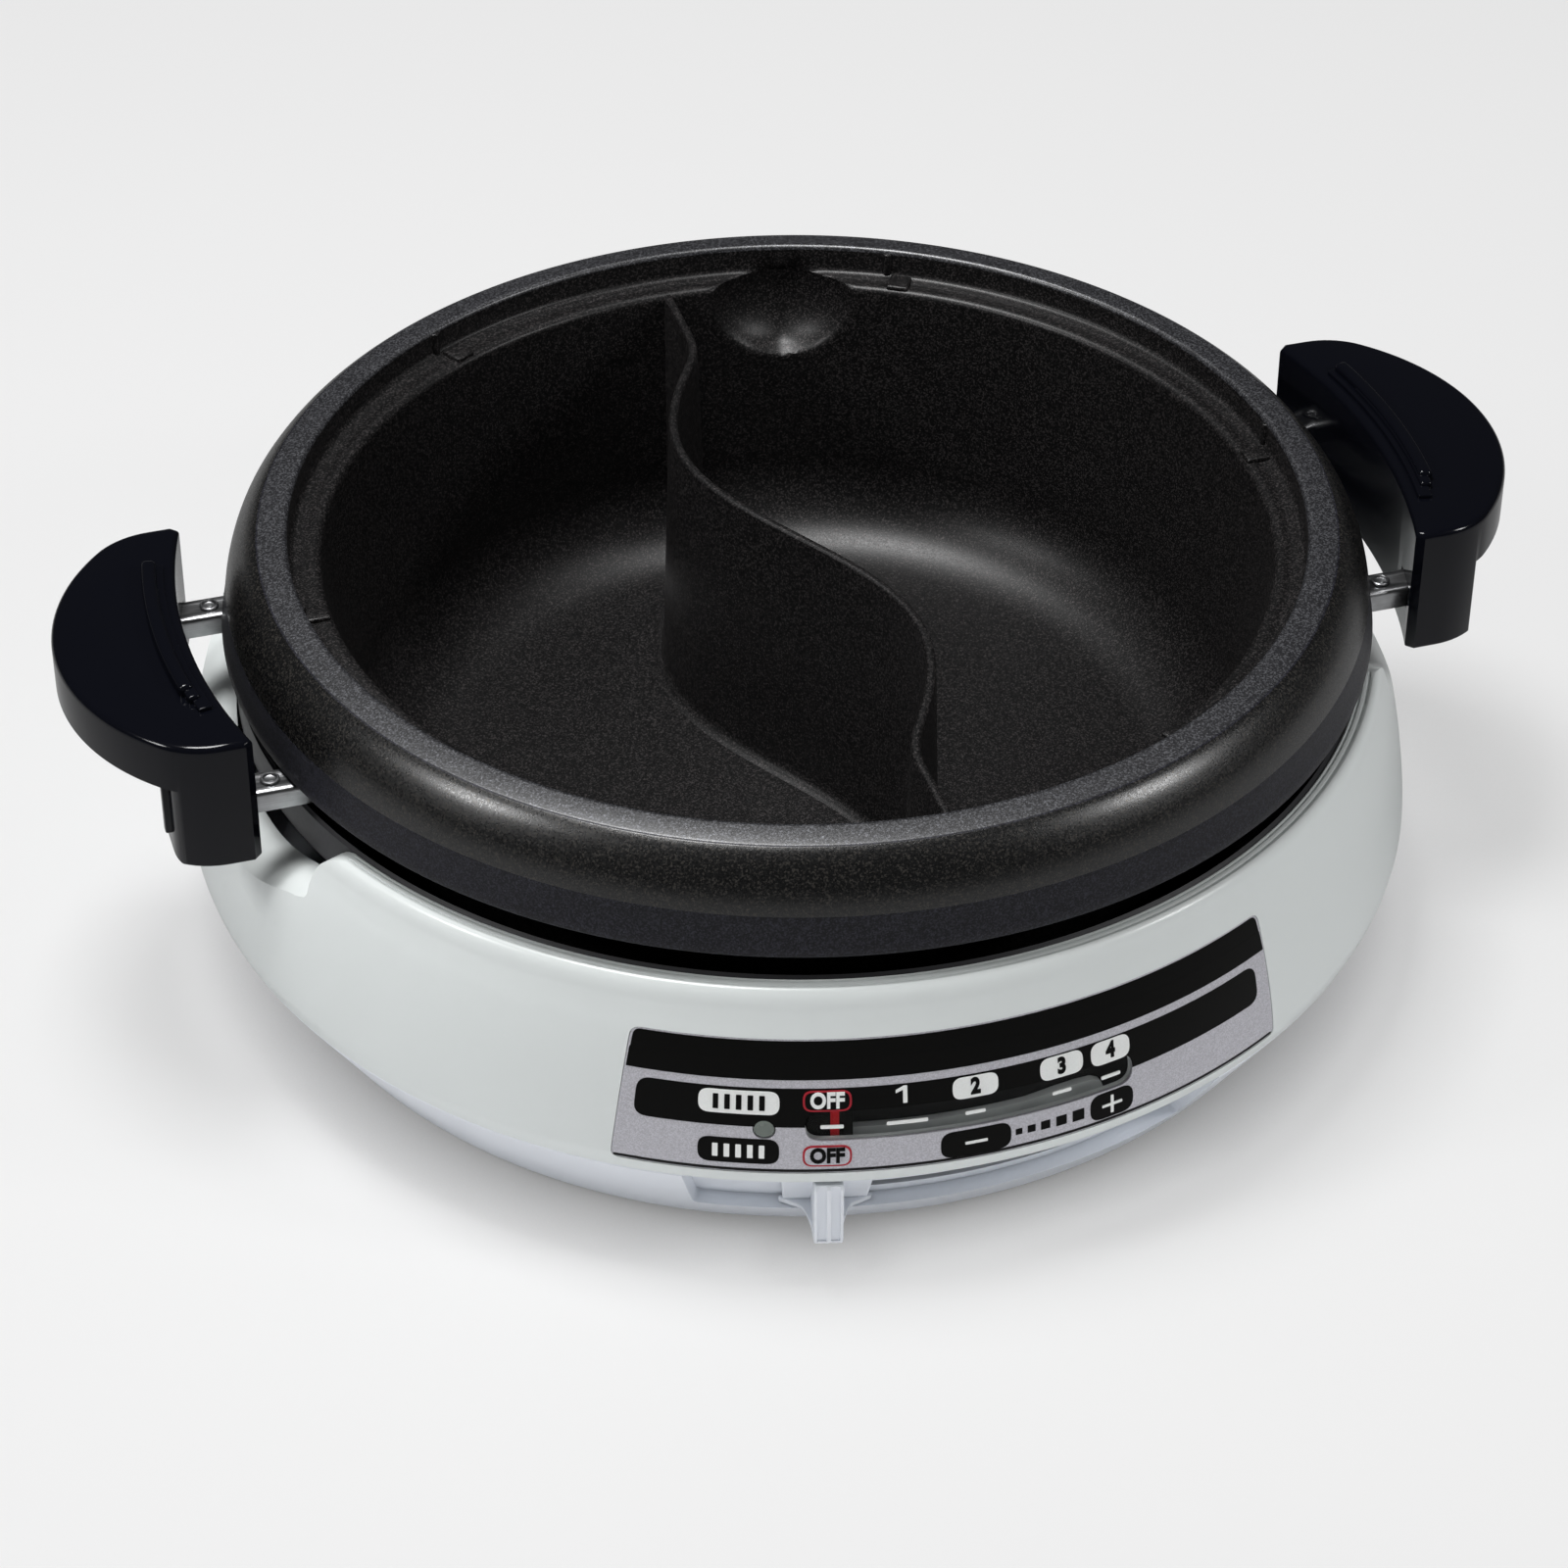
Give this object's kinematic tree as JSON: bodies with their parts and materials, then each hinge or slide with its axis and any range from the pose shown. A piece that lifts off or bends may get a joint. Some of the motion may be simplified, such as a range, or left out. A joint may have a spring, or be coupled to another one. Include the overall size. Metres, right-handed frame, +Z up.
{
  "type": "divided electric hot pot",
  "caption": "Countertop electric hot pot with an S-divided non-stick pan, crescent handles on steel arms and a round white base with control panel, slide lever and scale window.",
  "frame": {"origin": "on the table, under the middle of the round base, midway between the handles", "axes": "+Z up; the control panel faces -Y; the handles stand out along +X and -X"},
  "size_m": [0.4592, 0.3838, 0.141],
  "materials": {
    "pan_coating": "dark speckled non-stick coating",
    "handle_black": "glossy black",
    "stainless": "bright stainless",
    "shell_white": "satin white",
    "cover_white": "satin cool white",
    "panel_black": "printed black film",
    "lens": "smoky clear",
    "pointer_black": "matte black with a red stripe",
    "moulding_black": "matte black",
    "foot_rubber": "matte",
    "guard_steel": "dull grey sheet",
    "reflector": "polished",
    "sheath": "heat-darkened sheath",
    "ceramic": "unglazed ceramic",
    "pin_brass": "bright",
    "wire_cover": "woven glass sleeve"
  },
  "bodies": {
    "base": {"outer_shell": "shell_white", "bottom_cover": "cover_white", "control_panel": "panel_black", "window_lens": "lens", "lamp_lens": "lens", "pilot_lamp": "ceramic", "foot_rear_right": "foot_rubber", "foot_rear_left": "foot_rubber", "foot_front_left": "foot_rubber", "foot_front_right": "foot_rubber", "cover_screw_rear_right": "stainless", "cover_screw_rear_left": "stainless", "cover_screw_front_left": "stainless", "cover_screw_front_right": "stainless", "guard_ring": "guard_steel", "reflector_dish": "reflector", "heating_element": "sheath", "heater_support_front": "stainless", "heater_support_right": "stainless", "heater_support_left": "stainless", "thermostat_bracket": "stainless", "thermostat_body": "ceramic", "sensor_spring": "stainless", "plug_receptacle": "moulding_black", "terminal_block": "ceramic", "inlet_pin_right": "pin_brass", "inlet_pin_left": "pin_brass", "supply_lead_right": "wire_cover", "supply_lead_left": "wire_cover", "link_lead_right": "wire_cover", "link_lead_left": "wire_cover", "lamp_lead": "wire_cover"},
    "pan": {"divided_pan": "pan_coating", "handle_right": "handle_black", "handle_left": "handle_black", "bracket_arm_right_front": "stainless", "bracket_arm_right_rear": "stainless", "bracket_arm_left_front": "stainless", "bracket_arm_left_rear": "stainless", "pan_rivet_right_front": "stainless", "pan_rivet_right_rear": "stainless", "pan_rivet_left_front": "stainless", "pan_rivet_left_rear": "stainless", "frame_rivet_right_front": "stainless", "frame_rivet_right_rear": "stainless", "frame_rivet_left_front": "stainless", "frame_rivet_left_rear": "stainless", "handle_strap_right_front": "stainless", "handle_strap_right_rear": "stainless", "handle_strap_left_front": "stainless", "handle_strap_left_rear": "stainless", "handle_screw_right_front": "stainless", "handle_screw_right_rear": "stainless", "handle_screw_left_front": "stainless", "handle_screw_left_rear": "stainless"},
    "lever": {"control_lever": "cover_white", "pointer_plate": "pointer_black"},
    "sensor": {"sensor_cap": "reflector"}
  },
  "joints": [
    {"name": "lever_turn", "type": "hinge", "parent": "base", "child": "lever", "pos_m": [0, 0, 0.0204], "axis": [0, 0, 1], "range_deg": [0, 25.45]},
    {"name": "pan_lift", "type": "slide", "parent": "base", "child": "pan", "axis": [0, 0, 1], "range_m": [0, 0.12]},
    {"name": "sensor_press", "type": "slide", "parent": "base", "child": "sensor", "axis": [0, 0, 1], "range_m": [-0.003, 0], "stiffness_N_per_m": 300, "springref_m": 0.003, "deforming": ["sensor_spring"]}
  ]
}
